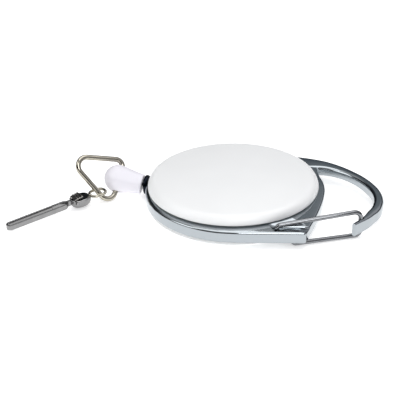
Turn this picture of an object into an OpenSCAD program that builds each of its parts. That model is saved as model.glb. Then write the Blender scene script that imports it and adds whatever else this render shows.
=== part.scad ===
// Retractable badge reel on a carabiner frame, real size, millimetres, +Z up.
// Origin: under the spool's axis, on the back cover's flat rest face.
// +X points to the carabiner hook and -X is the way the cord is pulled.

/* [Reel case] */
// Radius of the two plastic covers
case_r = 22.4; // [22.2:0.1:22.6]
// Height of the crown of the front cover above the rest face
crown_z = 9.4; // [9:0.1:10]
// Wall of the plastic covers
cover_wall = 1.3; // [1.1:0.1:1.4]

/* [Frame] */
// Underside of the cast frame
frame_z0 = 1.8; // [1.8:0.1:1.9]
// Thickness of the cast frame
frame_h = 3.5; // [3.3:0.1:3.5]
// Width of the hook bar, seen from above
bar_w = 2.8; // [2.6:0.1:3]

/* [Gate] */
// Radius of the gate's spring wire
gate_r = 0.55; // [0.5:0.05:0.55]

/* [Cord] */
// Radius of the cord
cord_r = 0.38; // [0.3:0.02:0.4]
// Layers of cord on the spool
cord_layers = 3; // [1:1:3]

/* [Pull end] */
// Large radius of the cord stopper
stopper_r = 3.7; // [3.6:0.1:3.8]
// Radius of the ring's wire
ring_r = 0.65; // [0.55:0.05:0.65]
// Thickness of the clip's sheet
sheet = 0.45; // [0.4:0.05:0.45]

/* [Hidden] */
$fn = 96;
eps = 0.01;
frame_z1 = frame_z0 + frame_h;
cord_z = 3.55;
gate_pin = [14.9, -19.9];
gate_foot = [18.9, -19.7];
gate_bar = [34.9, -11.2];
stopper_at = [-24.55, 0, cord_z];
stopper_pitch = 9;
ring_at = [-30.87, 0, 4.58];
ring_turn = [125.71, -29.75, -156.86];
ring_pts = [[16, 0.3], [0, 5.4], [0, -7.9]];
ring_bends = [2.4, 2, 2.3];
clip_at = [-35.19, -5.42, 2.86];
clip_yaw = -133.3;
clip_pitch = 3.9;

// ---- helpers
function heading(p, q) = atan2(q[1] - p[1], q[0] - p[0]);
function turn(a, b) = let (t = b - a) t > 180 ? t - 360 : t < -180 ? t + 360 : t;
function unit(a) = [cos(a), sin(a)];
function unit3(v) = v / norm(v);
function ring_of(r, n, s, u) = [for (k = [0:n - 1]) r * (cos(360 * k / n) * s + sin(360 * k / n) * u)];

// points of a round corner at v, on the way from p to q
function bend(p, v, q, r, k = 6) = let (
    a = unit3(v - p), b = unit3(q - v), t = acos(a * b),
    w = unit3(b - (a * b) * a), start = v - a * r * tan(t / 2))
  [for (j = [0:k]) start + r * sin(t * j / k) * a + r * (1 - cos(t * j / k)) * w];

// round wire of n sides along points; ref is a direction the wire never runs along
module tube(pts, r, ref, closed = false, n = 12) {
  m = len(pts);
  rings = [for (i = [0:m - 1]) let (
      before = closed ? pts[(i + m - 1) % m] : pts[max(i - 1, 0)],
      after = closed ? pts[(i + 1) % m] : pts[min(i + 1, m - 1)],
      t = unit3(after - before), s = unit3(cross(ref, t)), u = cross(t, s))
    each [for (q = ring_of(r, n, s, u)) pts[i] + q]];
  sides = [for (i = [0:(closed ? m - 1 : m - 2)]) for (k = [0:n - 1]) let (j = (i + 1) % m, l = (k + 1) % n)
    [i * n + k, j * n + k, j * n + l, i * n + l]];
  caps = closed ? [] : [[for (k = [0:n - 1]) k], [for (k = [n - 1:-1:0]) (m - 1) * n + k]];
  polyhedron(rings, concat(sides, caps), convexity = 8);
}

// a flat strip's section (children) carried along a polyline with round corners
module straight(p, q) {
  translate([p[0], p[1], 0]) rotate([0, 0, heading(p, q)]) rotate([90, 0, 90])
    linear_extrude(norm(q - p)) children();
}

module corner(v, a, b, r) {
  t = turn(a, b);
  side = t > 0 ? 90 : -90;
  start = v - unit(a) * r * tan(abs(t) / 2);
  centre = start + unit(a + side) * r;
  translate([centre[0], centre[1], 0]) rotate([0, 0, t > 0 ? a - 90 : b + 90])
    rotate_extrude(angle = abs(t)) translate([r, 0]) children();
}

module strip(pts, bends) {
  n = len(pts);
  trim = [for (i = [0:n - 1]) (i == 0 || i == n - 1) ? 0 :
    bends[i] * tan(abs(turn(heading(pts[i - 1], pts[i]), heading(pts[i], pts[i + 1]))) / 2)];
  for (i = [0:n - 2]) let (u = unit(heading(pts[i], pts[i + 1])))
    straight(pts[i] + u * (trim[i] - eps * min(i, 1)), pts[i + 1] - u * (trim[i + 1] - eps)) children();
  for (i = [1:n - 2])
    corner(pts[i], heading(pts[i - 1], pts[i]), heading(pts[i], pts[i + 1]), bends[i]) children();
}

// ---- die-cast carabiner frame
module round_bar(e) {
  c = 0.9;
  square([bar_w - 2 * e, frame_h - 2 * c], center = true);
  square([bar_w - 2 * c, frame_h - 2 * e], center = true);
  for (x = [-1, 1]) for (y = [-1, 1])
    translate([x * (bar_w / 2 - c), y * (frame_h / 2 - c)]) circle(c - e);
}

module bar_arc(c, r, a0, a1, e) {
  translate([c[0], c[1], frame_z0 + frame_h / 2]) rotate([0, 0, a0])
    rotate_extrude(angle = a1 - a0) translate([r - bar_w / 2, 0]) round_bar(e);
}

module frame_plan() {
  intersection() {
    circle(24.2);
    translate([0, -30]) square(60);
  }
  difference() {
    translate([1.2, 0]) circle(24.3);
    translate([5.4, -30]) square(60);
  }
  polygon([[0, -20], [5.35, -23.94], [21.85, -21.05], [22.5, -20.4], [23.5, -13],
    [24, -7], [24.15, -1.5], [18, 0], [0, 0]]);
  polygon([[3, 18], [3, 23.6], [13, 21.6], [16.04, 21.3], [15.9, 19], [19.2, 17.6], [19.4, 14.6],
    [20.7, 12.5], [10, 10]]);
}

module carabiner_frame() color([0.72, 0.74, 0.76]) {
  spine = [13.17, -6.1];
  hook = spine + (27.9 - 17.7) * unit(30);
  nose = hook + (17.7 - 11.7) * unit(-8);
  difference() {
    union() {
      translate([0, 0, frame_z0]) linear_extrude(frame_h) frame_plan();
      bar_arc(spine, 27.9, 30, 84, 0);
      bar_arc(hook, 17.7, -8, 31, 0.02);
      bar_arc(nose, 11.7, -27, -7, 0.04);
      translate([0, 0, frame_z0 + 0.1]) linear_extrude(frame_h - 0.2)
        polygon([[38.36, -7.15], [36.95, -10.2], [34.05, -14.5], [33.15, -14.1],
          [34.8, -11], [36, -8.2], [35.95, -5.9], [36.8, -5.6]]);
    }
    translate([0, 0, -1]) cylinder(r = 20.9, h = 12);
    // cord hole and the seat of the eyelet's flange
    translate([-26, 0, cord_z]) rotate([0, 90, 0]) cylinder(r = 1.3, h = 8);
    translate([-26, 0, cord_z]) rotate([0, 90, 0]) cylinder(r = 2.75, h = 3.1);
    // pocket and blind hole for the gate's upper pin
    translate([0, 0, frame_z1 - 0.9]) linear_extrude(2) {
      polygon([[14.9, -21.1], [14, -20.6], [13.7, -19.3], [14.9, -18.3], [17.2, -17.5],
        [20, -16.9], [25, -15.2], [25, -20.4], [21.6, -20.6]]);
    }
    translate([gate_pin[0], gate_pin[1], 2.5]) cylinder(r = gate_r + 0.05, h = 4);
    // notch under the corner where the gate's lower leg comes out
    translate([0, 0, frame_z0 - 1]) linear_extrude(2.6)
      polygon([[20.4, -23], [25, -23], [25, -17], [21.3, -17.6]]);
    // slot under the frame for the gate's lower pin
    translate([gate_pin[0], gate_pin[1], frame_z0 - 1]) rotate([0, 0, -9])
      rotate_extrude(angle = 50) translate([3.12, 0]) square([1.85, 2.5]);
    // notch behind the nose where the gate's crossbar rests
    translate([gate_bar[0], gate_bar[1], 0]) cylinder(r = gate_r + 0.3, h = 10);
  }
}

// ---- spring-wire gate
module gate_wire() color([0.68, 0.68, 0.7]) {
  top = 7.3;
  low = 0.62;
  p = [[gate_pin[0], gate_pin[1], 2.7], [gate_pin[0], gate_pin[1], 5.75],
    [gate_bar[0], gate_bar[1], top], [gate_bar[0], gate_bar[1], low],
    [gate_foot[0], gate_foot[1], 0.95], [gate_foot[0], gate_foot[1], 3]];
  tube([p[0], each bend(p[0], p[1], p[2], 1), each bend(p[1], p[2], p[3], 1.6),
    each bend(p[2], p[3], p[4], 1.3), each bend(p[3], p[4], p[5], 1), p[5]],
    gate_r, [-sin(25), cos(25), 0]);
}

// ---- plastic covers
module dome(e) {
  difference() {
    union() {
      polygon([[0, 0], [case_r - e, 0], [case_r - e, 5.75], [20.1, 8.03 - e], [0, 8.03 - e]]);
      translate([case_r - 2.3, 5.75]) circle(2.3 - e);
      intersection() {
        translate([0, crown_z - e - 150.3]) circle(150.3);
        square([20.4, 20]);
      }
    }
    translate([-200, -200]) square([200, 400]);
    translate([-1, -200]) square([60, 200 + frame_z1]);
  }
}

module front_cover() color([0.93, 0.94, 0.94]) {
  difference() {
    union() {
      rotate_extrude() difference() {
        dome(0);
        difference() {
          dome(cover_wall);
          translate([19.6, 0]) square([5, 6.4]);
        }
        square([19.6, 6.4]);
      }
      translate([0, 0, 3.65]) difference() {
        cylinder(r = 20.8, h = frame_z1 - 3.65 + 0.4);
        translate([0, 0, -1]) cylinder(r = 19.6, h = 9);
      }
      translate([0, 0, 5.8]) cylinder(r = 3.2, h = crown_z - cover_wall - 5.8 + 0.4);
    }
    translate([-22, -1.7, 2]) cube([4, 4.6, 2.75]);
    translate([0, 0, 5]) cylinder(r = 1.02, h = 3.3);
    translate([0, 0, 5]) cylinder(r = 2.1, h = 1.6);
  }
}

module back_cover() color([0.93, 0.94, 0.94]) {
  difference() {
    union() {
      rotate_extrude() {
        translate([0, 0.6]) square([case_r, frame_z0 - 0.6]);
        square([case_r - 0.6, 1]);
        translate([case_r - 0.6, 0.6]) circle(0.6);
      }
      difference() {
        translate([0, 0, 1]) cylinder(r = 20.8, h = 2.55);
        translate([0, 0, 1.4]) cylinder(r = 19.6, h = 9);
      }
    }
    translate([0, 0, 1.4]) cylinder(r = 19.6, h = 9);
    translate([-22, -1.7, 2.35]) cube([4, 4.6, 3]);
    translate([0, 0, -1]) cylinder(r = 1.15, h = 5);
    translate([0, 0, -1]) cylinder(r = 2.15, h = 1.85);
    translate([0, 0, 1]) cylinder(r = 1.95, h = 2);
  }
}

module case_screw() color([0.6, 0.6, 0.62]) difference() {
  union() {
    translate([0, 0, 0.15]) cylinder(r = 2, h = 0.68);
    cylinder(r = 1, h = 8.1);
  }
  translate([0, 0, -1]) cylinder(r = 3, h = 1.15);
  for (a = [0, 90]) rotate([0, 0, a]) translate([-1.2, -0.2, 0]) cube([2.4, 0.4, 0.5]);
}

// ---- reel works
module spring_arbor() color([0.75, 0.72, 0.6]) difference() {
  translate([0, 0, 1.01]) cylinder(r = 1.95, h = 5.5);
  cylinder(r = 1.15, h = 9);
  translate([0, -0.3, 2.4]) cube([3, 0.6, 5]);
}

module cord_eyelet() color([0.35, 0.36, 0.4]) translate([0, 0, cord_z]) rotate([0, -90, 0]) {
  difference() {
    union() {
      translate([0, 0, 20.85]) cylinder(r = 1.29, h = 2.6);
      translate([0, 0, 22.92]) cylinder(r = 2.6, h = 0.68);
      translate([0, 0, 23.6]) cylinder(r1 = 2.6, r2 = 2.2, h = 0.4);
    }
    translate([0, 0, 18]) cylinder(r = 0.62, h = 8);
    translate([0, 0, 20.8]) cylinder(r1 = 1.15, r2 = 0.6, h = 0.7);
    translate([0, 0, 23.6]) cylinder(r1 = 0.6, r2 = 1.1, h = 0.5);
  }
}

module cord_spool() color([0.2, 0.2, 0.22]) difference() {
  union() {
    translate([0, 0, 1.7]) cylinder(r = 17.8, h = 0.6);
    translate([0, 0, 1.7]) cylinder(r = 13.5, h = 3.8);
    translate([0, 0, 4.9]) cylinder(r = 17.8, h = 0.6);
  }
  translate([0, 0, 2.3]) cylinder(r = 12.2, h = 6);
  translate([0, 0, 5.05]) cylinder(r = 12.7, h = 6);
  cylinder(r = 2, h = 9);
  for (a = [0:60:300]) rotate([0, 0, a]) translate([8, 0, 0]) cylinder(r = 1.6, h = 4);
}

module spring_cover() color([0.3, 0.3, 0.32]) difference() {
  translate([0, 0, 5.06]) cylinder(r = 12.66, h = 0.42);
  cylinder(r = 2.6, h = 9);
  for (a = [45:90:315]) rotate([0, 0, a]) translate([8.5, 0, 0]) cylinder(r = 1.2, h = 9);
}

module mainspring() color([0.45, 0.47, 0.52]) {
  turns = 9;
  steps = turns * 20;
  r0 = 2.35;
  r1 = 11.95;
  t = 0.2;
  a = [for (i = [0:steps]) i * 360 * turns / steps];
  translate([0, 0, 2.5]) linear_extrude(2.4) polygon(concat([[1.4, 0]],
    [for (i = [0:steps]) (r0 + (r1 - r0) * i / steps) * unit(a[i])],
    [for (i = [steps:-1:0]) (r0 + t + (r1 - r0) * i / steps) * unit(a[i])],
    [[r0 + t, -t], [1.4, -t]]));
}

module wound_cord() color([0.12, 0.12, 0.13]) rotate_extrude() {
  pitch = 1.9 * cord_r;
  for (i = [0:cord_layers - 1]) for (j = [-1:1])
    translate([13.5 + cord_r + pitch * i, cord_z + 0.05 + pitch * j]) circle(cord_r);
  translate([13.51, cord_z + 0.05 - pitch]) square([pitch * (cord_layers - 1) + cord_r, 2 * pitch]);
}

module cord_run() color([0.12, 0.12, 0.13]) {
  k = stopper_at[0];
  a = [-11.5, 11.63, cord_z];
  b = [-20.75, 0, cord_z];
  c = [k + 0.2, 0, cord_z];
  d = [k - 1.98, 0, cord_z + 0.34];
  tube([a, (2 * a + b) / 3, (a + 2 * b) / 3, each bend(a, b, c, 2.6, 8),
    [-22.5, 0, cord_z], [-23.3, 0, cord_z], each bend(b, c, d, 1.5, 4), d], cord_r, [0, 0, 1]);
}

// ---- pull end
module on_stopper() {
  translate(stopper_at) rotate([0, stopper_pitch - 90, 0]) children();
}

module cord_stopper() color([0.93, 0.92, 0.95]) difference() {
  on_stopper() difference() {
    rotate_extrude() difference() {
      union() {
        polygon([[0, 0], [2.45, 0], [2.67, 0.22], [stopper_r * 0.989, 6.21], [0, 6.21]]);
        translate([0, 6.74]) circle(stopper_r);
      }
      translate([-20, -20]) square([20, 60]);
    }
    translate([0, 0, -1]) cylinder(r = 0.62, h = 4);
    translate([0, 0, 2]) cylinder(r = 1.5, h = 2.4);
  }
  translate(ring_at) rotate(ring_turn) rotate([90, 0, 0]) cylinder(r = ring_r + 0.3, h = 12, center = true);
}

module cord_knot() color([0.12, 0.12, 0.13]) on_stopper() rotate_extrude() {
  translate([0.97, 2.75]) circle(0.43);
  translate([0.97, 3.4]) circle(0.43);
  translate([0.56, 2.75]) square([0.6, 0.65]);
}

module triangle_ring() color([0.75, 0.73, 0.68]) translate(ring_at) rotate(ring_turn) {
  p = [for (q = ring_pts) [q[0], q[1], 0]];
  tube([for (i = [0:2]) each bend(p[(i + 2) % 3], p[i], p[(i + 1) % 3], ring_bends[i], 8)],
    ring_r, [0, 0, 1], closed = true, n = 16);
}

// ---- swivel clip: x runs from the eye to the hook's tip
module on_clip() {
  translate(clip_at) rotate([0, 0, clip_yaw]) rotate([0, clip_pitch, 0]) children();
}

module swivel_eye() color([0.7, 0.7, 0.7]) on_clip() {
  p = [[-1.85, -1.53, 0], [3.05, -1.53, 0], [3.05, 1.53, 0], [-1.85, 1.53, 0]];
  tube([for (i = [0:3]) each bend(p[(i + 3) % 4], p[i], p[(i + 1) % 4], 1.45)],
    0.38, [0, 0, 1], closed = true);
  translate([2.95, 0, 0]) rotate([0, 90, 0]) cylinder(r = 0.45, h = 2.15);
  translate([4.62, 0, 0]) rotate([0, 90, 0]) cylinder(r = 0.62, h = 0.5);
}

module belly(e) {
  rotate([0, 90, 0]) rotate_extrude()
    polygon([[0, 3.6 + e], [1.1 - e, 3.6 + e], [1.75 - e, 4.2 + e * 0.6], [2.2 - e, 5.6], [2.2 - e, 6.8],
      [1.8 - e, 8.2 - e * 0.6], [0.9 - e, 9.1 - e], [0, 9.1 - e]]);
}

module clip_hook() color([0.66, 0.66, 0.66]) on_clip() {
  difference() {
    belly(0);
    belly(sheet);
    translate([0, -4, 0.6]) cube([12, 8, 4]);
    translate([2, 0, 0]) rotate([0, 90, 0]) cylinder(r = 0.5, h = 2.6);
    translate([7.4, 5, 0.1]) rotate([90, 0, 0]) cylinder(r = 0.4, h = 10);
    translate([8, -1.6, -0.9]) cube([2.8, 1.1, 3]);
  }
  strip([[8.4, 0], [9.6, 0.1], [10.5, 1], [27.2, 1], [27.2, -1], [13.6, -1]],
    [0, 0.7, 0.7, 0.99, 0.99, 0]) square([sheet, 1.35], center = true);
}

module thumb_lever() color([0.42, 0.4, 0.4]) on_clip() {
  difference() {
    union() {
      translate([7.7, 0, 0.7]) rotate([0, 7, 0]) {
        translate([-3.9, -1.5, 0]) cube([4.5, 3, 0.35]);
        for (i = [0:4]) translate([-3.75 + 0.62 * i, -1.5, 0.3]) cube([0.32, 3, 0.22]);
      }
      for (s = [-1, 1]) translate([6.75, s - sheet / 2, -0.45]) cube([1.15, sheet, 1.35]);
    }
    translate([7.4, 5, 0.1]) rotate([90, 0, 0]) cylinder(r = 0.43, h = 10);
  }
  translate([7.87, -1.2, -0.2]) cube([1.2, 0.4, 0.7]);
  translate([9, -1 - sheet / 2, -0.6]) cube([4.3, sheet, 1.2]);
}

module lever_pin() color([0.6, 0.6, 0.6]) on_clip()
  translate([7.4, 1.95, 0.1]) rotate([90, 0, 0]) cylinder(r = 0.4, h = 3.9);

module lever_spring() color([0.5, 0.5, 0.55]) on_clip()
  translate([0, 0.6, 0]) rotate([90, 0, 0]) linear_extrude(1.2)
    polygon([[5.35, -1.5], [7.1, -1.5], [7.2, -1.35], [5.65, 0.85], [5.4, 0.85], [6.85, -1.35], [5.35, -1.35]]);

carabiner_frame();
gate_wire();
front_cover();
back_cover();
case_screw();
spring_arbor();
cord_eyelet();
cord_spool();
spring_cover();
mainspring();
wound_cord();
cord_run();
cord_stopper();
cord_knot();
triangle_ring();
swivel_eye();
clip_hook();
thumb_lever();
lever_pin();
lever_spring();
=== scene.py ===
import math

import bmesh
import bpy
from mathutils import Matrix, Vector


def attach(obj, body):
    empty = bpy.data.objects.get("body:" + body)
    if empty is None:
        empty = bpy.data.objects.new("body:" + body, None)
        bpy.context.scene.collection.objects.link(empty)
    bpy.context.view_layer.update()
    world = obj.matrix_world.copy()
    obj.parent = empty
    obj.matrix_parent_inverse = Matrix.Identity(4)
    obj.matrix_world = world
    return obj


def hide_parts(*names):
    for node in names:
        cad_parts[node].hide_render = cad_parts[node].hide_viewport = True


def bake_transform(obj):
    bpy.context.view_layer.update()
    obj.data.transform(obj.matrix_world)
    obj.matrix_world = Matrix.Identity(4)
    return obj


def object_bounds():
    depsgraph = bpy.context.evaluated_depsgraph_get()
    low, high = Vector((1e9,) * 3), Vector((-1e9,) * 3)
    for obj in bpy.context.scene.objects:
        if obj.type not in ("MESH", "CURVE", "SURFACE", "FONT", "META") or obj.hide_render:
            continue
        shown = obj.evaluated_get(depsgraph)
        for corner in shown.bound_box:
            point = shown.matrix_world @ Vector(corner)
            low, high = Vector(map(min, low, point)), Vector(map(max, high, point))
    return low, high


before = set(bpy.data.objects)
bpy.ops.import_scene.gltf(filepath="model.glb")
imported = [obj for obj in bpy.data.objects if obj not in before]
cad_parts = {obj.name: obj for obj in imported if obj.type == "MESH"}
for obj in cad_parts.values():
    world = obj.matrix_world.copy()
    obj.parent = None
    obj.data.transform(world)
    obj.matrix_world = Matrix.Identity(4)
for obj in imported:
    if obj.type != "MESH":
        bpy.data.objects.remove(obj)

cad_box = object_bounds()
MM = 0.001

# Camera. A long lens about 400 mm from the reel, 27 degrees above the table and a little to the
# right of straight in front, so the dome reads as a flattened circle and the cord leads left.
camera = bpy.data.objects.new("camera", bpy.data.cameras.new("camera"))
bpy.context.collection.objects.link(camera)
camera.location = (0.06797, -0.34969, 0.18742)
looking = Vector((-0.1699, 0.8742, -0.4548))
camera.rotation_euler = looking.to_track_quat("-Z", "Y").to_euler()
camera.data.lens = 137.2
camera.data.sensor_width = 36
camera.data.shift_x = -0.0833
camera.data.shift_y = -0.0356
camera.data.clip_start = 0.01
bpy.context.scene.camera = camera


# Table. A wide sheet of plain white studio paper, so bright that hardly any shadow is left on it.
def linear(code):
    channels = [int(code[i:i + 2], 16) / 255 for i in (0, 2, 4)]
    return tuple(c / 12.92 if c <= 0.04045 else ((c + 0.055) / 1.055) ** 2.4 for c in channels) + (1.0,)


def add(tree, kind, settings=None, **links):
    node = tree.nodes.new("ShaderNode" + kind)
    for name, value in (settings or {}).items():
        if hasattr(node, name):
            setattr(node, name, value)
        else:
            node.inputs[name].default_value = value
    for name, source in links.items():
        tree.links.new(source, node.inputs[name.replace("_", " ")])
    return node


def blank(name):
    material = bpy.data.materials.new(name)
    material.use_nodes = True
    tree = material.node_tree
    tree.nodes.clear()
    output = tree.nodes.new("ShaderNodeOutputMaterial")
    return material, tree, output


paper, tree, output = blank("coated studio paper")
fibres = add(tree, "TexNoise", {"Scale": 900.0, "Detail": 2.0})
lift = add(tree, "Bump", {"Strength": 0.05, "Distance": 0.0002}, Height=fibres.outputs["Fac"])
sheet = add(tree, "BsdfPrincipled", {
    "Base Color": linear("f4f4f4"), "Roughness": 0.85, "Specular IOR Level": 0.1,
    "Emission Color": linear("ffffff"), "Emission Strength": 0.5,
}, Normal=lift.outputs["Normal"])
tree.links.new(sheet.outputs["BSDF"], output.inputs["Surface"])
bm = bmesh.new()
bmesh.ops.create_grid(bm, x_segments=4, y_segments=4, size=1.6)
table = bpy.data.meshes.new("table")
bm.to_mesh(table)
bm.free()
floor = bpy.data.objects.new("floor", table)
floor.location = (0, 0, cad_box[0][2] - 0.00005)
bpy.context.collection.objects.link(floor)
floor.data.materials.append(paper)

# The plain transform keeps the white paper pure white.
bpy.context.scene.view_settings.view_transform = "Standard"


# Studio. A big soft light overhead and two smaller ones from the left and the front, in a room whose
# walls stay dark at eye level. The dark walls draw the thin navy lines on the chrome.
world = bpy.data.worlds.new("studio")
bpy.context.scene.world = world
world.use_nodes = True
tree = world.node_tree
tree.nodes.clear()
output = tree.nodes.new("ShaderNodeOutputWorld")
direction = add(tree, "TexCoord")
split = add(tree, "SeparateXYZ", Vector=direction.outputs["Generated"])
height = add(tree, "ValToRGB", Fac=split.outputs["Z"])
ramp = height.color_ramp
for place, code in ((0.0, "9a9a9a"), (0.02, "14171e"), (0.16, "1c2028"), (0.26, "808a94"),
                    (0.42, "aab2b8"), (0.54, "bfc6cb"), (0.64, "eef0f3"), (0.8, "ffffff")):
    stop = ramp.elements.new(place) if place > 0 else ramp.elements[0]
    stop.position = place
    stop.color = linear(code)
ramp.elements.remove(ramp.elements[len(ramp.elements) - 1])
# Below the softboxes a dark curtain hangs on the left, and the room in front is dark.
curtain = add(tree, "MapRange", {"From Min": -0.3, "From Max": -0.1, "To Min": 0.12, "To Max": 1.0},
              Value=split.outputs["X"])
front = add(tree, "MapRange", {"From Min": -0.35, "From Max": -0.05, "To Min": 0.1, "To Max": 1.0},
            Value=split.outputs["Y"])
both = add(tree, "Math", {"operation": "MINIMUM"})
tree.links.new(curtain.outputs["Result"], both.inputs[0])
tree.links.new(front.outputs["Result"], both.inputs[1])
above = add(tree, "MapRange", {"From Min": 0.6, "From Max": 0.7}, Value=split.outputs["Z"])
open_part = add(tree, "Math", {"operation": "MAXIMUM"})
tree.links.new(both.outputs["Value"], open_part.inputs[0])
tree.links.new(above.outputs["Result"], open_part.inputs[1])
hung = add(tree, "Mix", {"data_type": "RGBA"})
hung.inputs[6].default_value = linear("10141d")
tree.links.new(open_part.outputs["Value"], hung.inputs[0])
tree.links.new(height.outputs["Color"], hung.inputs[7])
# A white card on the right, behind the reel, lights the ledge beside the gate.
card_side = add(tree, "MapRange", {"From Min": 0.0, "From Max": 0.3}, Value=split.outputs["X"])
card_low = add(tree, "MapRange", {"From Min": 0.27, "From Max": 0.4}, Value=split.outputs["Z"])
card = add(tree, "Math", {"operation": "MULTIPLY"})
tree.links.new(card_side.outputs["Result"], card.inputs[0])
tree.links.new(card_low.outputs["Result"], card.inputs[1])
carded = add(tree, "Mix", {"data_type": "RGBA"})
carded.inputs[7].default_value = linear("fbfaff")
tree.links.new(card.outputs["Value"], carded.inputs[0])
tree.links.new(hung.outputs[2], carded.inputs[6])
room = add(tree, "Background", {"Strength": 0.55}, Color=carded.outputs[2])
tree.links.new(room.outputs["Background"], output.inputs["Surface"])

for name, place, size, power in (
    ("overhead softbox", (0.05, 0.1, 0.9), 0.9, 4.0),
    ("left softbox", (-0.7, -0.35, 0.6), 0.5, 1.8),
    ("front softbox", (0.35, -0.8, 0.7), 0.5, 3.4),
):
    light = bpy.data.objects.new(name, bpy.data.lights.new(name, "AREA"))
    light.data.size = size
    light.data.energy = power
    light.location = place
    light.rotation_euler = (-Vector(place)).to_track_quat("-Z", "Y").to_euler()
    bpy.context.collection.objects.link(light)


# Carabiner frame: one zinc die casting, tumbled and bright chromed. A ring with a flat ledge holds
# the covers, its near corner carries the gate and its far side runs out into the hook's bar.
def piece(name, verts, faces, material, body, slot, stands_for=(), smooth=40):
    mesh = bpy.data.meshes.new(name)
    mesh.from_pydata([Vector(v) * MM for v in verts], [], faces)
    bm = bmesh.new()
    bm.from_mesh(mesh)
    bmesh.ops.remove_doubles(bm, verts=bm.verts, dist=1e-7)
    bmesh.ops.recalc_face_normals(bm, faces=bm.faces)
    if bm.calc_volume(signed=True) < 0:
        bmesh.ops.reverse_faces(bm, faces=bm.faces)
    for face in bm.faces:
        face.smooth = True
    for edge in bm.edges:
        edge.smooth = len(edge.link_faces) == 2 and edge.calc_face_angle(0) < math.radians(smooth)
    bm.to_mesh(mesh)
    bm.free()
    obj = bpy.data.objects.new(name, mesh)
    bpy.context.collection.objects.link(obj)
    mesh.materials.append(material)
    if body:
        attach(obj, body)
        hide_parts(*stands_for)
    return obj


def carve(obj, cutter):
    cut = obj.modifiers.new("cut", "BOOLEAN")
    cut.operation = "DIFFERENCE"
    cut.solver = "EXACT"
    cut.object = cutter
    bpy.context.view_layer.update()
    seen = obj.evaluated_get(bpy.context.evaluated_depsgraph_get())
    result = bpy.data.meshes.new_from_object(seen)
    obj.modifiers.clear()
    obj.data = result
    bpy.data.objects.remove(cutter)


def loft(rings, closed=False, caps=True):
    count = len(rings[0])
    verts = [v for ring in rings for v in ring]
    faces = []
    steps = len(rings) if closed else len(rings) - 1
    for i in range(steps):
        j = (i + 1) % len(rings)
        for k in range(count):
            m = (k + 1) % count
            faces.append((i * count + k, j * count + k, j * count + m, i * count + m))
    if caps and not closed:
        faces.append(tuple(range(count)))
        faces.append(tuple(range((len(rings) - 1) * count, len(rings) * count)))
    return verts, faces


def rounded(width, height, radius, n=5):
    points = []
    for cx, cy, start in ((1, 1, 0), (-1, 1, 90), (-1, -1, 180), (1, -1, 270)):
        for k in range(n + 1):
            a = math.radians(start + 90 * k / n)
            points.append((cx * (width / 2 - radius) + radius * math.cos(a),
                           cy * (height / 2 - radius) + radius * math.sin(a)))
    return points


def smooth_line(points, steps):
    line = []
    n = len(points)
    for i in range(n - 1):
        p0, p1, p2 = points[max(i - 1, 0)], points[i], points[i + 1]
        p3 = points[min(i + 2, n - 1)]
        for s in range(steps):
            t = s / steps
            line.append(tuple(0.5 * (2 * b + (c - a) * t + (2 * a - 5 * b + 4 * c - d) * t * t
                                     + (3 * b - a - 3 * c + d) * t ** 3)
                              for a, b, c, d in zip(p0, p1, p2, p3)))
    line.append(tuple(points[-1]))
    return line


chrome, tree, output = blank("chromed zinc casting")
# Bright chrome over a tumbled casting: slow waves a few mm long and a faint haze of fine pits.
where = add(tree, "TexCoord")
waves = add(tree, "TexNoise", {"Scale": 260.0, "Detail": 2.0}, Vector=where.outputs["Object"])
pits = add(tree, "TexNoise", {"Scale": 5200.0, "Detail": 3.0}, Vector=where.outputs["Object"])
haze = add(tree, "MapRange", {"To Min": 0.05, "To Max": 0.13}, Value=waves.outputs["Fac"])
slow = add(tree, "Bump", {"Strength": 0.12, "Distance": 0.0003}, Height=waves.outputs["Fac"])
fine = add(tree, "Bump", {"Strength": 0.04, "Distance": 0.00004},
           Height=pits.outputs["Fac"], Normal=slow.outputs["Normal"])
metal = add(tree, "BsdfPrincipled", {"Base Color": linear("a6acb0"), "Metallic": 1.0},
            Roughness=haze.outputs["Result"], Normal=fine.outputs["Normal"])
tree.links.new(metal.outputs["BSDF"], output.inputs["Surface"])

FRAME_LOW, FRAME_TOP = 1.8, 5.3
BORE = 20.9  # radius of the round hole that takes the covers
RIM = 0.6  # rounding of the outer edges
FALL = 0.35  # how far the ledge drops from the bore to its outer edge


def fillet(points, radii, steps=8, closed=False):
    line = []
    n = len(points)
    for i in range(n):
        v = Vector(points[i])
        if not closed and i in (0, n - 1):
            line.append(v)
            continue
        a = (v - Vector(points[i - 1])).normalized()
        b = (Vector(points[(i + 1) % n]) - v).normalized()
        t = a.angle(b)
        w = (b - a * a.dot(b)).normalized()
        start = v - a * radii[i] * math.tan(t / 2)
        turns = [t * j / steps for j in range(steps + 1)]
        line += [start + a * radii[i] * math.sin(turn) + w * radii[i] * (1 - math.cos(turn))
                 for turn in turns]
    return line


def ring_outline():
    points = [Vector((1.2 + 24.3 * math.cos(math.radians(96 + 174 * k / 110)),
                      24.3 * math.sin(math.radians(96 + 174 * k / 110)), 0)) for k in range(111)]
    points += fillet([(5.35, -23.94, 0), (22.42, -20.95, 0), (23.5, -13.0, 0)], (0, 0.9, 0), 8)
    points += [Vector((x, y, 0)) for x, y in smooth_line(
        [(23.5, -13.0), (23.95, -7.0), (24.1, -1.5), (23.75, 4.0), (22.7, 8.2), (21.1, 11.9),
         (20.5, 14.4), (19.9, 17.0), (18.2, 19.6), (13.4, 21.7), (5.6, 23.6), (-1.34, 24.17)], 8)[1:-1]]
    fine_points = []
    for i, a in enumerate(points):
        b = points[(i + 1) % len(points)]
        cuts = max(1, round((b - a).length / 0.8))
        fine_points += [tuple((a + (b - a) * j / cuts)[:2]) for j in range(cuts)]
    return fine_points


def inward(points, distance):
    moved = []
    n = len(points)
    for i in range(n):
        a, b = Vector(points[i - 1]), Vector(points[(i + 1) % n])
        t = (b - a).normalized()
        moved.append((points[i][0] - t.y * distance, points[i][1] + t.x * distance))
    return moved


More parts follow.
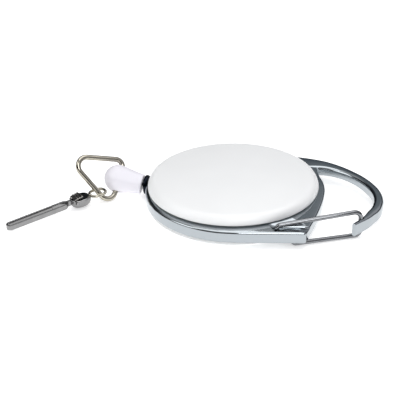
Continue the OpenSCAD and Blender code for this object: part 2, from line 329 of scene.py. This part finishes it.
plan = ring_outline()
bore = [(BORE * x / math.hypot(x, y), BORE * y / math.hypot(x, y)) for x, y in plan]
levels = [(0.0, FRAME_LOW + RIM), (0.0, FRAME_TOP - FALL - RIM)]
for k in range(1, 5):
    a = math.radians(84 * k / 4)
    levels.append((RIM * (1 - math.cos(a)), FRAME_TOP - FALL - RIM + RIM * math.sin(a)))
rings = [[(x, y, z) for x, y in inward(plan, d)] for d, z in levels]
rings += [[(x, y, FRAME_TOP - 0.02) for x, y in bore], [(x, y, FRAME_LOW) for x, y in bore]]
under = []
for k in range(4, 0, -1):
    a = math.radians(90 * k / 4)
    under.append((RIM * (1 - math.cos(a)), FRAME_LOW + RIM - RIM * math.sin(a)))
rings += [[(x, y, z) for x, y in inward(plan, d)] for d, z in under]
ring = piece("cast_ring", *loft(rings, closed=True), chrome, None, None)

# The gate's pocket, its upper pin hole, the cord's way out and the slot for the lower pin.
PIN_X, PIN_Y = 14.9, -19.9


def block(outline_points, low, high):
    rings = [[(x, y, z) for x, y in outline_points] for z in (low, high)]
    return piece("cutter", *loft(rings), chrome, None, None)


def round_block(x, y, low, high, radius, n=32):
    return block([(x + radius * math.cos(2 * math.pi * k / n), y + radius * math.sin(2 * math.pi * k / n))
                  for k in range(n)], low, high)


carve(ring, block(smooth_line([(14.9, -21.1), (14.0, -20.6), (13.75, -19.8), (14.6, -19.1), (17.2, -18.5)], 6)
                  + [(20.0, -18.0), (25.0, -17.0), (25.0, -20.35), (21.6, -20.55)], 4.4, 6.0))
carve(ring, round_block(PIN_X, PIN_Y, 2.5, 6.0, 0.62))
slot_points = [(PIN_X + radius * math.cos(math.radians(a)), PIN_Y + radius * math.sin(math.radians(a)))
               for radius, angles in ((4.97, range(-9, 42, 5)), (3.12, range(41, -10, -5)))
               for a in angles]
carve(ring, block(slot_points, 0.8, 3.3))
hole = []
for x, radius in ((-18.0, 1.3), (-22.9, 1.3), (-22.9, 2.75), (-27.0, 2.75)):
    hole.append([(x, radius * math.cos(2 * math.pi * k / 40), 3.55 + radius * math.sin(2 * math.pi * k / 40))
                 for k in range(40)])
carve(ring, piece("cutter", *loft(hole), chrome, None, None))

# The bar leaves the ring wide and low, narrows over the spine and the hook, and ends in a thin
# flat nose. Its section has well rounded upper edges.
stations = []
for x, y, radius, spread in (
    (13.17, -6.1, 27.9, ((97, 5.6, 2.0), (90, 6.2, 2.0), (84, 6.4, 2.1), (79, 6.1, 2.2), (75, 5.4, 2.3),
                         (71, 4.7, 2.4), (67, 4.2, 2.45), (62, 3.8, 2.5), (56, 3.4, 2.5), (50, 3.1, 2.4),
                         (44, 2.9, 2.3), (37, 2.8, 2.1), (30, 2.75, 2.0))),
    (22.0, -1.0, 17.7, ((24, 2.75, 1.9), (18, 2.75, 1.85), (12, 2.75, 1.8), (6, 2.75, 1.8),
                        (0, 2.75, 1.8), (-8, 2.7, 1.8))),
    (27.94, -1.84, 11.7, ((-15, 2.65, 1.8), (-22, 2.55, 1.8), (-28, 2.45, 1.8))),
):
    for angle, width, low in spread:
        a = Vector((math.cos(math.radians(angle)), math.sin(math.radians(angle))))
        stations.append((Vector((x, y)) + a * (radius - width), Vector((x, y)) + a * radius, low))
for inner, outer in (((35.4, -9.3), (37.15, -9.85)), ((34.35, -11.8), (35.6, -12.3)),
                     ((33.15, -14.15), (34.05, -14.6))):
    stations.append((Vector(inner), Vector(outer), 1.8))
spread = smooth_line([(*a, *b, low) for a, b, low in stations], 4)
rings = []
for ax, ay, bx, by, low in spread:
    middle = Vector(((ax + bx) / 2, (ay + by) / 2))
    across = Vector((bx - ax, by - ay))
    width, height = across.length, FRAME_TOP - 0.03 - low
    across.normalize()
    edge = min(0.95, width * 0.36)
    slope = 0.13 * max(0.0, min(1.0, (by + 4) / 8)) * max(0.25, min(1.0, (22 - by) / 6))
    rings.append([(middle.x + across.x * u, middle.y + across.y * u,
                   low + height / 2 + (v if v < 0 else v - slope * (u + width / 2)))
                  for u, v in rounded(width, height, edge)])
bar = piece("hook_bar", *loft(rings), chrome, None, None)
carve(bar, round_block(34.9, -11.2, 0.0, 9.0, 0.8))
carve(bar, round_block(0, 0, 0.0, 9.0, BORE, 160))
carve(bar, block([(14.9, -25), (25, -25), (25, -15.0), (14.9, -15.0)], 0.8, 6.0))
bm = bmesh.new()
bm.from_mesh(ring.data)
bm.from_mesh(bar.data)
bm.to_mesh(ring.data)
bm.free()
bpy.data.objects.remove(bar)
ring.name = "carabiner_casting"
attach(ring, "case")
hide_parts("carabiner_frame")


# Gate: one length of hard-drawn spring wire bent to a U. Its ends sit in the casting's corner and
# its crossbar rests behind the nose. Drawing and plating leave a very fine texture on it.
def wire(line, radius, closed=False, sides=20, start=(0, 0, 1)):
    rings = []
    n = len(line)
    side = Vector(start)
    for i in range(n):
        before = line[i - 1] if closed or i else line[0]
        after = line[(i + 1) % n] if closed or i < n - 1 else line[-1]
        ahead = (after - before).normalized()
        side = (side - ahead * side.dot(ahead)).normalized()
        up = ahead.cross(side)
        rings.append([line[i] + (side * math.cos(2 * math.pi * k / sides)
                                 + up * math.sin(2 * math.pi * k / sides)) * radius for k in range(sides)])
    return loft(rings, closed)


def plated(name, code, rough, fleck, lines):
    material, tree, output = blank(name)
    where = add(tree, "TexCoord")
    cloud = add(tree, "TexNoise", {"Scale": fleck, "Detail": 3.0}, Vector=where.outputs["Object"])
    draw = add(tree, "TexNoise", {"Scale": lines, "Detail": 1.0}, Vector=where.outputs["Object"])
    haze = add(tree, "MapRange", {"To Min": rough * 0.7, "To Max": rough * 1.4}, Value=cloud.outputs["Fac"])
    tint = add(tree, "MapRange", {"From Min": 0.3, "From Max": 0.7, "To Min": 0.86, "To Max": 1.0},
               Value=cloud.outputs["Fac"])
    shade = add(tree, "Mix", {"data_type": "RGBA", "blend_type": "MULTIPLY", "Factor": 1.0})
    shade.inputs[6].default_value = linear(code)
    tree.links.new(tint.outputs["Result"], shade.inputs[7])
    relief = add(tree, "Bump", {"Strength": 0.05, "Distance": 0.00003}, Height=draw.outputs["Fac"])
    metal = add(tree, "BsdfPrincipled", {"Metallic": 1.0}, Base_Color=shade.outputs[2],
                Roughness=haze.outputs["Result"], Normal=relief.outputs["Normal"])
    tree.links.new(metal.outputs["BSDF"], output.inputs["Surface"])
    return material


gate_steel = plated("plated spring wire", "85878a", 0.08, 900.0, 4200.0)
GATE_WIRE = 0.6
gate_line = fillet([(PIN_X, PIN_Y, 2.7), (PIN_X, PIN_Y, 5.75), (34.9, -11.2, 7.3), (34.9, -11.2, 0.62),
                    (18.9, -19.7, 0.95), (18.9, -19.7, 3.0)], (0, 1, 1.7, 1.4, 1, 0), 10)
piece("wire_gate", *wire(gate_line, GATE_WIRE, start=(1, 0, 0)), gate_steel, "gate", "gate_spring_wire",
      ["gate_wire"])


# Covers: two ABS mouldings, white, polished tool on the outside. The front one is domed with a
# round shoulder, the back one flat. Their skirts drop into the casting and a screw joins them.
def lathe(profile, sides=160, place=None):
    rings = [[Vector((r * math.cos(2 * math.pi * k / sides), r * math.sin(2 * math.pi * k / sides), z))
              for r, z in profile] for k in range(sides)]
    if place:
        rings = [[place @ v for v in ring] for ring in rings]
    return loft(rings, closed=True)


def arc(x, y, radius, start, stop, steps):
    return [(x + radius * math.cos(math.radians(start + (stop - start) * k / steps)),
             y + radius * math.sin(math.radians(start + (stop - start) * k / steps)))
            for k in range(steps + 1)]


def moulded(name, code, rough, grain):
    material, tree, output = blank(name)
    where = add(tree, "TexCoord")
    flow = add(tree, "TexNoise", {"Scale": 70.0, "Detail": 2.0}, Vector=where.outputs["Object"])
    skin = add(tree, "TexNoise", {"Scale": grain, "Detail": 3.0}, Vector=where.outputs["Object"])
    tint = add(tree, "MapRange", {"From Min": 0.3, "From Max": 0.7, "To Min": 0.975, "To Max": 1.0},
               Value=flow.outputs["Fac"])
    shade = add(tree, "Mix", {"data_type": "RGBA", "blend_type": "MULTIPLY", "Factor": 1.0})
    shade.inputs[6].default_value = linear(code)
    tree.links.new(tint.outputs["Result"], shade.inputs[7])
    gloss = add(tree, "MapRange", {"To Min": rough * 0.85, "To Max": rough * 1.15}, Value=skin.outputs["Fac"])
    relief = add(tree, "Bump", {"Strength": 0.06, "Distance": 0.00005}, Height=skin.outputs["Fac"])
    plastic = add(tree, "BsdfPrincipled", {"IOR": 1.5}, Base_Color=shade.outputs[2],
                  Roughness=gloss.outputs["Result"], Normal=relief.outputs["Normal"])
    tree.links.new(plastic.outputs["BSDF"], output.inputs["Surface"])
    return material


white_abs = moulded("moulded white ABS", "f5f6f6", 0.34, 2600.0)
crown = [(r, -150.9 + math.sqrt(150.3 ** 2 - r * r) + 10.0) for r in (0, 4, 8, 12, 16, 18.5)]
dome = crown + arc(20.1, 5.75, 2.3, 84, 0, 14) + [(22.36, 5.6), (22.2, 5.47), (21.9, 5.42), (21.6, 5.38),
                                                 (20.8, 5.3), (20.8, 3.65), (19.6, 3.65), (19.6, 6.4)]
dome += [(20.9, 6.6), (20.6, 7.0), (19.2, 7.7), (3.2, 8.05), (3.2, 5.8), (2.1, 5.8), (2.1, 6.6),
         (1.02, 6.6), (1.02, 8.3), (0, 8.3)]
piece("domed_cover", *lathe(dome, 224), white_abs, "case", "white_abs", ["front_cover"], 35)
back = [(1.15, 0.85), (2.15, 0.85), (2.15, 0.05), (2.2, 0.0), (21.8, 0.0)] + arc(21.8, 0.6, 0.6, -75, 0, 6)
back += [(22.4, 1.5), (22.3, 1.72), (20.8, 1.78), (20.8, 3.55), (19.6, 3.55), (19.6, 1.4), (1.95, 1.4),
         (1.95, 1.0), (1.15, 1.0)]
piece("flat_cover", *lathe(back, 224), white_abs, "case", "white_abs", ["back_cover"], 35)


# Reel works: an acetal drum with its lid, a blued steel spiral spring, the cord wound on the drum,
# a turned arbor and a plated screw. They are shut in by the covers.
def dress(node, material):
    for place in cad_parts[node].material_slots:
        place.material = material
    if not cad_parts[node].material_slots:
        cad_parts[node].data.materials.append(material)


acetal = moulded("moulded black acetal", "17181a", 0.5, 1800.0)
blued = plated("blued spring steel", "4c5262", 0.28, 500.0, 3000.0)
plated_steel = plated("zinc plated steel", "b3b4b2", 0.3, 700.0, 3800.0)
braid, tree, output = blank("braided polyester cord")
# The braid's crossing strands are simplified to one set of slightly wavy diagonal bands.
where = add(tree, "TexCoord")
left = add(tree, "TexWave", {"Scale": 560.0, "bands_direction": "DIAGONAL", "Distortion": 0.6},
           Vector=where.outputs["Object"])
strand = add(tree, "ValToRGB", Fac=left.outputs["Fac"])
strand.color_ramp.elements[0].color = linear("0c0c0e")
strand.color_ramp.elements[1].color = linear("2a2b2f")
relief = add(tree, "Bump", {"Strength": 0.6, "Distance": 0.00005}, Height=left.outputs["Fac"])
yarn = add(tree, "BsdfPrincipled", {"Roughness": 0.75, "Sheen Weight": 0.25},
           Base_Color=strand.outputs["Color"], Normal=relief.outputs["Normal"])
tree.links.new(yarn.outputs["BSDF"], output.inputs["Surface"])
for node, material in (("cord_spool", acetal), ("spring_cover", acetal), ("mainspring", blued),
                       ("spring_arbor", plated_steel), ("case_screw", plated_steel),
                       ("wound_cord", braid), ("cord_knot", braid)):
    dress(node, material)


# Ferrule: a turned brass bush with a flange, dark chromed, pressed into the casting. The cord runs
# over its flared mouth.
CORD_Z = 3.55
along_cord = Matrix.Translation((0, 0, CORD_Z)) @ Matrix.Rotation(math.radians(-90), 4, "Y")
dark_chrome = plated("dark chromed brass", "1b1f28", 0.2, 600.0, 3000.0)
bush = [(0.62, 21.6), (1.1, 20.85), (1.29, 20.9), (1.29, 22.92), (2.45, 22.92), (2.6, 23.05), (2.62, 23.4),
        (2.58, 23.65), (2.42, 23.86), (2.1, 23.98), (1.2, 24.0), (0.95, 23.93), (0.7, 23.7), (0.62, 23.4)]
piece("cord_ferrule", *lathe(bush, 64, along_cord), dark_chrome, "case", "dark_ferrule", ["cord_eyelet"], 30)


# Cord run: the braided cord from the drum, round the skirt's edge, through the ferrule and into
# the stopper. It draws out as the stopper is pulled.
STOPPER_X = -24.55
CORD_RADIUS = 0.38
run = fillet([(-11.5, 11.63, CORD_Z), (-20.75, 0, CORD_Z), (STOPPER_X + 0.2, 0, CORD_Z),
              (STOPPER_X - 1.98, 0, 3.89)],
             (0, 2.6, 1.5, 0), 10)
fine_run = []
for a, b in zip(run, run[1:]):
    cuts = max(1, round((b - a).length / 0.12))
    fine_run += [a + (b - a) * j / cuts for j in range(cuts)]
fine_run.append(run[-1])
cord = piece("cord_braid", *wire(fine_run, CORD_RADIUS, sides=14), braid, None, None)
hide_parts("cord_run")
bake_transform(cord)


# Stopper: an injection moulded cone with a round end, white with a lilac cast and a satin skin.
# The cord's knot sits in it and the triangle ring's wire goes through a cross hole.
stopper_white = moulded("moulded satin polypropylene", "edebf2", 0.42, 1900.0)
on_stopper = Matrix.Translation((STOPPER_X, 0, CORD_Z)) @ Matrix.Rotation(math.radians(9 - 90), 4, "Y")
cone = [(0.62, 0.25), (0.8, 0.0), (2.3, 0.0)] + arc(2.3, 0.38, 0.38, -85, -5, 5) + [(2.9, 2.0), (3.3, 4.2)]
cone += arc(0, 6.74, 3.7, -8, 90, 22) + [(0, 4.4), (1.5, 4.4), (1.5, 2.0), (0.62, 2.0)]
stopper = piece("stopper_moulding", *lathe(cone, 96, on_stopper), stopper_white, None, None)
ring_turn = (Matrix.Translation((-30.87, 0, 4.58))
             @ Matrix.Rotation(math.radians(-156.86), 4, "Z") @ Matrix.Rotation(math.radians(-29.75), 4, "Y")
             @ Matrix.Rotation(math.radians(125.71), 4, "X"))
bored = [[ring_turn @ Vector((0.88 * math.cos(math.pi * j / 16), y, 0.88 * math.sin(math.pi * j / 16)))
          for j in range(32)] for y in (-6.0, 6.0)]
carve(stopper, piece("cutter", *loft(bored), stopper_white, None, None))
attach(stopper, "pull")
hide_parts("cord_stopper")


# Triangle ring: steel wire 1.4 mm thick, bent to a triangle and nickel plated, a little warm in
# colour. It passes through the stopper's cross hole.
RING_WIRE = 0.71
nickel = plated("bright nickel on steel wire", "b5b0a3", 0.08, 800.0, 3600.0)
corners = fillet([ring_turn @ Vector(c) for c in ((16, 0.3, 0), (0, 5.4, 0), (0, -7.9, 0))],
                 (2.4, 2.0, 2.3), 12, closed=True)
piece("ring_wire", *wire(corners, RING_WIRE, closed=True, sides=24, start=ring_turn.col[2].to_3d()),
      nickel, "ring", "nickel_wire", ["triangle_ring"])


# Swivel eye: a small wire loop whose ends close on a headed post. The post turns in the belly.
on_clip = (Matrix.Translation((-35.19, -5.42, 2.86)) @ Matrix.Rotation(math.radians(-133.3), 4, "Z")
           @ Matrix.Rotation(math.radians(3.9), 4, "Y"))
loop = fillet([on_clip @ Vector(c) for c in ((-1.85, -1.7, 0), (2.5, -1.7, 0), (2.5, 1.7, 0),
                                              (-1.85, 1.7, 0))], (1.6,) * 4, 12, closed=True)
eye_verts, eye_faces = wire(loop, 0.38, closed=True, sides=16, start=on_clip.col[2].to_3d())
post = on_clip @ Matrix.Rotation(math.radians(90), 4, "Y")
shank = [(0, 2.3), (0.42, 2.35), (0.44, 2.5), (0.44, 3.0), (0.4, 3.05), (0.4, 4.62), (0.6, 4.64),
         (0.62, 4.72), (0.62, 5.0), (0.5, 5.1), (0, 5.12)]
more_verts, more_faces = lathe(shank, 28, post)
count = len(eye_verts)
eye_verts += more_verts
eye_faces += [tuple(i + count for i in face) for face in more_faces]
piece("eye_wire", eye_verts, eye_faces, nickel, "eye", "nickel_wire", ["swivel_eye"])


# Clip: blanked from 0.45 mm steel sheet, nickel plated. The real belly is a hollow boat shape, open
# on top; this one is filled level with its rim. The rest of the strip is folded into the long hook.
clip_nickel = plated("nickel plated steel sheet", "8f8f8f", 0.1, 700.0, 2600.0)
shell = [(0, 3.05), (1.0, 3.05), (1.4, 3.2), (1.85, 3.7), (2.15, 4.5), (2.2, 5.1), (2.2, 5.9), (2.08, 6.7),
         (1.85, 7.4), (1.4, 8.0), (0.8, 8.35), (0, 8.35), (0, 7.9), (0.6, 7.85), (1.0, 7.6), (1.42, 7.1),
         (1.68, 6.5), (1.75, 5.9), (1.75, 5.1), (1.62, 4.5), (1.3, 3.9), (0.9, 3.5), (0, 3.5)]
belly = piece("clip_belly", *lathe(shell, 72, post), clip_nickel, None, None, smooth=50)


def local_block(points, low, high, place):
    rings = [[place @ Vector((x, y, z)) for x, y in points] for z in (low, high)]
    return piece("cutter", *loft(rings), clip_nickel, None, None)


def box_points(x0, x1, y0, y1):
    return [(x0, y0), (x1, y0), (x1, y1), (x0, y1)]


carve(belly, local_block(box_points(0, 12, -4, 4), 0.6, 4.6, on_clip))
carve(belly, local_block(box_points(7.6, 10.8, -1.7, -0.5), -0.9, 2.1, on_clip))
disc = [(0.45 * math.cos(math.pi * j / 12), 0.45 * math.sin(math.pi * j / 12)) for j in range(24)]
carve(belly, local_block(disc, 2.0, 4.6, post))
pin_axis = on_clip @ Matrix.Translation((7.4, 5, 0.1)) @ Matrix.Rotation(math.radians(90), 4, "X")
carve(belly, local_block([(x * 0.9, y * 0.9) for x, y in disc], 0, 10, pin_axis))
strip_line = fillet([(8.0, 0, 0), (9.5, 0.05, 0), (10.5, 1, 0), (27.2, 1, 0), (27.2, -1, 0), (13.6, -1, 0)],
                    (0, 0.7, 0.7, 0.99, 0.99, 0), 10)
strip = []
for i, centre in enumerate(strip_line):
    ahead = (strip_line[min(i + 1, len(strip_line) - 1)] - strip_line[max(i - 1, 0)]).normalized()
    side = Vector((0, 0, 1)).cross(ahead)
    strip.append([on_clip @ (centre + side * u + Vector((0, 0, v))) for u, v in rounded(0.45, 1.35, 0.12, 3)])
hook_strip = piece("clip_strip", *loft(strip), clip_nickel, None, None, smooth=50)
bm = bmesh.new()
bm.from_mesh(belly.data)
bm.from_mesh(hook_strip.data)
bm.to_mesh(belly.data)
bm.free()
bpy.data.objects.remove(hook_strip)
belly.name = "clip_body"
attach(belly, "clip")
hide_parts("clip_hook")
dress("lever_pin", clip_nickel)
dress("lever_spring", blued)


# Thumb lever: a folded steel pressing in a darker nickel, with three ribs for the thumb and two ears
# on the pin. Its bright tongue runs back beside the neck and shuts the hook.
lever_nickel = plated("dark nickel pressing", "8b8885", 0.22, 900.0, 2600.0)


def pressed(points, low, high, place, edge):
    size = len(points)
    middle = [sum(p[0] for p in points) / size, sum(p[1] for p in points) / size]
    rings = []
    for inset, z in ((edge, low), (0, low + edge), (0, high - edge), (edge, high)):
        ring = []
        for x, y in points:
            dx, dy = middle[0] - x, middle[1] - y
            reach = max(math.hypot(dx, dy), 1e-6)
            ring.append(place @ Vector((x + dx / reach * inset, y + dy / reach * inset, z)))
        rings.append(ring)
    return loft(rings)


side_on = Matrix.Rotation(math.radians(90), 4, "X")
top = [(-2.3, 0.3)]
for j in range(3):
    x = -2.15 + 0.7 * j
    top += [(x, 0.3), (x + 0.05, 0.5), (x + 0.16, 0.55), (x + 0.27, 0.5), (x + 0.32, 0.3)]
top += [(0.2, 0.3), (0.2, 0.0), (-2.3, 0.0)]
tilted = on_clip @ Matrix.Translation((7.6, 0, 0.9)) @ Matrix.Rotation(math.radians(7), 4, "Y") @ side_on
parts = [pressed(top, -1.35, 1.35, tilted, 0.06)]
ear = [(6.8, -0.35), (7.75, -0.35), (7.75, 1.0), (6.8, 1.0)]
for y in (-1.0, 1.0):
    parts.append(pressed(ear, -y - 0.2, -y + 0.2, on_clip @ side_on, 0.05))
verts, faces = [], []
for part_verts, part_faces in parts:
    faces += [tuple(i + len(verts) for i in face) for face in part_faces]
    verts += part_verts
piece("lever_pressing", verts, faces, lever_nickel, "lever", "nickel_sheet", ["thumb_lever"])
tongue = [(7.6, -0.2), (9.0, -0.25), (10.2, -0.66), (13.55, -0.66), (13.55, 0.66), (10.2, 0.66), (9.0, 0.3),
          (7.6, 0.3)]
piece("lever_tongue", *pressed(tongue, 0.775, 1.225, on_clip @ side_on, 0.05), clip_nickel, "lever",
      "nickel_sheet", ["thumb_lever"])
